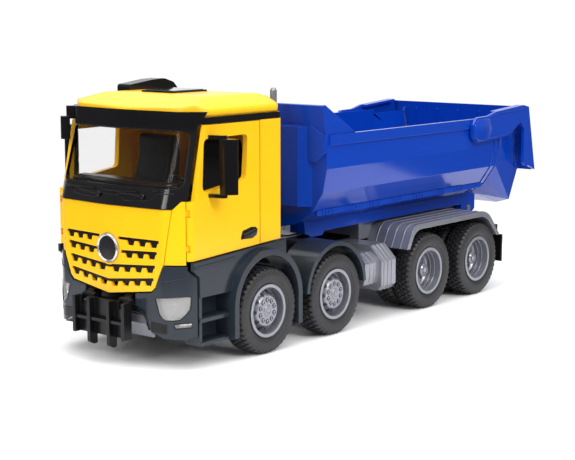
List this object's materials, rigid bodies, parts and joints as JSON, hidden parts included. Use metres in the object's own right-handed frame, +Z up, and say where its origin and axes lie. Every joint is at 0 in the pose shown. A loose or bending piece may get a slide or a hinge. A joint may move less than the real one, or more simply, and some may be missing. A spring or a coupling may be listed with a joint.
{
  "type": "toy dump truck",
  "caption": "Moulded plastic toy tipper truck that rolls on its wheels, with a cab that tilts, doors that open, and a half-pipe bed that tips with a swinging tailgate.",
  "frame": {"origin": "on the ground under the middle of the toy's length and width", "axes": "+X forward, towards the cab, +Y to the toy's left, +Z up"},
  "size_m": [0.514, 0.184, 0.2104],
  "materials": {
    "yellow_plastic": "gloss",
    "blue_plastic": "gloss",
    "slate_plastic": "satin",
    "black_plastic": "satin",
    "silver_plastic": "satin",
    "clear_plastic": "clear gloss",
    "red_plastic": "gloss",
    "tyre_plastic": "matt"
  },
  "bodies": {
    "chassis": {"chassis_frame": "black_plastic", "subframe": "silver_plastic", "front_axles": "black_plastic", "rear_axles": "black_plastic", "engine": "black_plastic", "stack_pipe": "silver_plastic", "front_bumper": "slate_plastic", "headlamps": "clear_plastic", "skid_plate": "silver_plastic", "coupling_bracket": "black_plastic", "front_fenders": "slate_plastic", "cab_steps": "slate_plastic", "second_fenders": "slate_plastic", "side_tanks": "silver_plastic", "rear_mudguards": "silver_plastic", "rear_lamp_bar": "black_plastic", "tail_lamps": "red_plastic"},
    "cab": {"cab_floor": "black_plastic", "cab_front": "yellow_plastic", "cab_shell": "yellow_plastic", "cab_roof": "yellow_plastic", "windscreen_frame": "black_plastic", "windscreen": "clear_plastic", "grille_panel": "yellow_plastic", "grille_insert": "black_plastic", "badge": "silver_plastic", "dashboard": "black_plastic", "seats": "black_plastic", "steering_wheel": "black_plastic", "roof_hatch": "black_plastic", "roof_cowl": "black_plastic", "corner_mirror": "black_plastic"},
    "left_door": {"door_left": "yellow_plastic", "handle_left": "black_plastic", "mirror_left": "black_plastic"},
    "right_door": {"door_right": "yellow_plastic", "handle_right": "black_plastic", "mirror_right": "black_plastic"},
    "bed": {"bed_trough": "blue_plastic", "bed_headboard": "blue_plastic", "bed_underframe": "blue_plastic"},
    "gate": {"tailgate": "blue_plastic"},
    "wheel_1_left": {"tyre_1_left": "tyre_plastic", "rim_1_left": "silver_plastic"},
    "wheel_1_right": {"tyre_1_right": "tyre_plastic", "rim_1_right": "silver_plastic"},
    "wheel_2_left": {"tyre_2_left": "tyre_plastic", "rim_2_left": "silver_plastic"},
    "wheel_2_right": {"tyre_2_right": "tyre_plastic", "rim_2_right": "silver_plastic"},
    "wheel_3_left": {"tyre_3_left": "tyre_plastic", "rim_3_left": "silver_plastic"},
    "wheel_3_right": {"tyre_3_right": "tyre_plastic", "rim_3_right": "silver_plastic"},
    "wheel_4_left": {"tyre_4_left": "tyre_plastic", "rim_4_left": "silver_plastic"},
    "wheel_4_right": {"tyre_4_right": "tyre_plastic", "rim_4_right": "silver_plastic"}
  },
  "joints": [
    {"name": "cab_tilt", "type": "hinge", "parent": "chassis", "child": "cab", "pos_m": [0.2455, 0, 0.0495], "axis": [0, 1, 0], "range_deg": [0, 45]},
    {"name": "door_left_swing", "type": "hinge", "parent": "cab", "child": "left_door", "pos_m": [0.2266, 0.0681, 0.105], "axis": [0, 0, -1], "range_deg": [0, 60]},
    {"name": "door_right_swing", "type": "hinge", "parent": "cab", "child": "right_door", "pos_m": [0.2266, -0.0681, 0.105], "axis": [0, 0, 1], "range_deg": [0, 60]},
    {"name": "bed_tip", "type": "hinge", "parent": "chassis", "child": "bed", "pos_m": [-0.193, 0, 0.076], "axis": [0, -1, 0], "range_deg": [0, 45]},
    {"name": "tailgate_swing", "type": "hinge", "parent": "bed", "child": "gate", "pos_m": [-0.154, 0, 0.1555], "axis": [0, 1, 0], "range_deg": [0, 60]},
    {"name": "wheel_1_left_roll", "type": "hinge", "parent": "chassis", "child": "wheel_1_left", "pos_m": [0.149, 0.068, 0.034], "axis": [0, 1, 0], "continuous": true},
    {"name": "wheel_1_right_roll", "type": "hinge", "parent": "chassis", "child": "wheel_1_right", "pos_m": [0.149, -0.068, 0.034], "axis": [0, 1, 0], "continuous": true},
    {"name": "wheel_2_left_roll", "type": "hinge", "parent": "chassis", "child": "wheel_2_left", "pos_m": [0.0625, 0.068, 0.034], "axis": [0, 1, 0], "continuous": true},
    {"name": "wheel_2_right_roll", "type": "hinge", "parent": "chassis", "child": "wheel_2_right", "pos_m": [0.0625, -0.068, 0.034], "axis": [0, 1, 0], "continuous": true},
    {"name": "wheel_3_left_roll", "type": "hinge", "parent": "chassis", "child": "wheel_3_left", "pos_m": [-0.076, 0.068, 0.034], "axis": [0, 1, 0], "continuous": true},
    {"name": "wheel_3_right_roll", "type": "hinge", "parent": "chassis", "child": "wheel_3_right", "pos_m": [-0.076, -0.068, 0.034], "axis": [0, 1, 0], "continuous": true},
    {"name": "wheel_4_left_roll", "type": "hinge", "parent": "chassis", "child": "wheel_4_left", "pos_m": [-0.1575, 0.068, 0.034], "axis": [0, 1, 0], "continuous": true},
    {"name": "wheel_4_right_roll", "type": "hinge", "parent": "chassis", "child": "wheel_4_right", "pos_m": [-0.1575, -0.068, 0.034], "axis": [0, 1, 0], "continuous": true}
  ]
}
